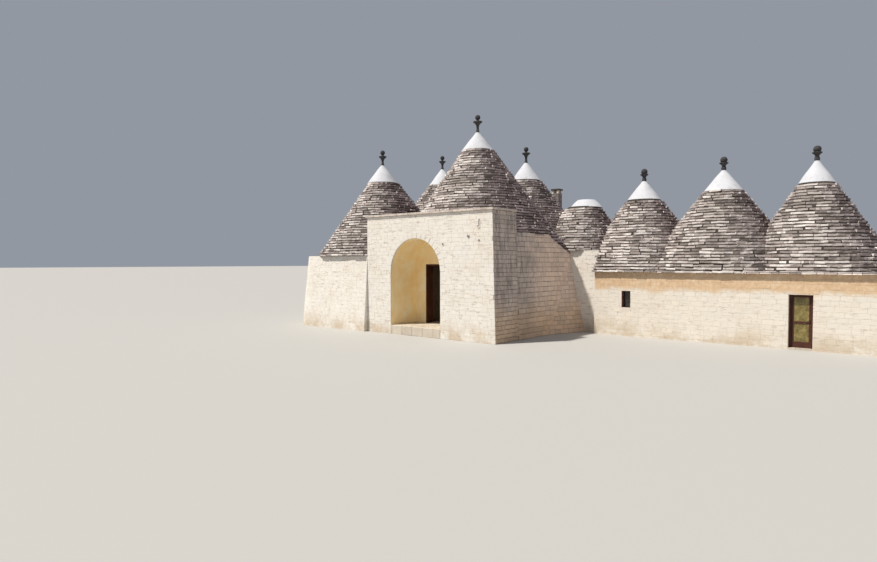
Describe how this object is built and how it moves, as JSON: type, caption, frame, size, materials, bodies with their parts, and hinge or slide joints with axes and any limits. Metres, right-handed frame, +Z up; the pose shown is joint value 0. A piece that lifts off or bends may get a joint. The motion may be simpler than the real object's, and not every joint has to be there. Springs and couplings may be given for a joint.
{
  "type": "trullo house",
  "caption": "Limewashed drystone trullo house with conical slab roofs, plastered caps, turned stone pinnacles, an arched porch and a low wing with a glazed door.",
  "frame": {"origin": "centre of the footprint, on the lowest ground", "axes": "+X to the right along the main facade, +Y from the facade into the house, +Z up"},
  "size_m": [26.13, 12.03, 10.4812],
  "materials": {
    "limewashed_stone": "rough limewash over squared limestone",
    "bare_limestone": "rough weathered limestone",
    "roof_slabs": "rough split limestone slabs laid dry",
    "lime_plaster": "smooth white lime plaster",
    "pinnacle_stone": "dark weathered carved stone",
    "coping_stone": "rough flat limestone slabs",
    "floor_stone": "worn limestone paving",
    "door_timber": "dark red-brown painted timber",
    "glass": "old clear glass"
  },
  "bodies": {
    "house": {"chimney_slab": "coping_stone", "chimney_stack": "bare_limestone", "corner_buttress": "bare_limestone", "facade_arch": "limewashed_stone", "facade_coping": "coping_stone", "facade_left_pier": "limewashed_stone", "facade_right_pier": "limewashed_stone", "left_cross_wall": "limewashed_stone", "left_front_wall": "limewashed_stone", "left_rear_wall": "limewashed_stone", "left_roof": "roof_slabs", "left_side_wall": "limewashed_stone", "link_roof": "roof_slabs", "link_walls": "limewashed_stone", "main_back_wall": "bare_limestone", "main_door_head": "limewashed_stone", "main_floor": "floor_stone", "main_front_wall_left": "limewashed_stone", "main_front_wall_right": "limewashed_stone", "main_left_wall": "limewashed_stone", "main_right_wall": "bare_limestone", "main_roof": "roof_slabs", "pinnacles": "pinnacle_stone", "rear_left_roof": "roof_slabs", "rear_outer_wall": "limewashed_stone", "rear_roof": "roof_slabs", "roof_caps": "lime_plaster", "window_frame": "door_timber", "window_pane": "glass", "wing_cross_walls": "limewashed_stone", "wing_door_frame": "door_timber", "wing_door_head": "limewashed_stone", "wing_end_wall": "limewashed_stone", "wing_floor": "floor_stone", "wing_front_wall_left": "limewashed_stone", "wing_front_wall_middle": "limewashed_stone", "wing_front_wall_right": "limewashed_stone", "wing_left_roof": "roof_slabs", "wing_middle_roof": "roof_slabs", "wing_rear_wall": "limewashed_stone", "wing_right_roof": "roof_slabs"},
    "wing_door": {"wing_door_leaf": "door_timber", "wing_door_panes": "glass"}
  },
  "joints": [
    {"name": "wing_door_hinge", "type": "hinge", "parent": "house", "child": "wing_door", "pos_m": [9.419, 0.584, 0.06], "axis": [0, 0, 1], "range_deg": [0, 90]}
  ]
}
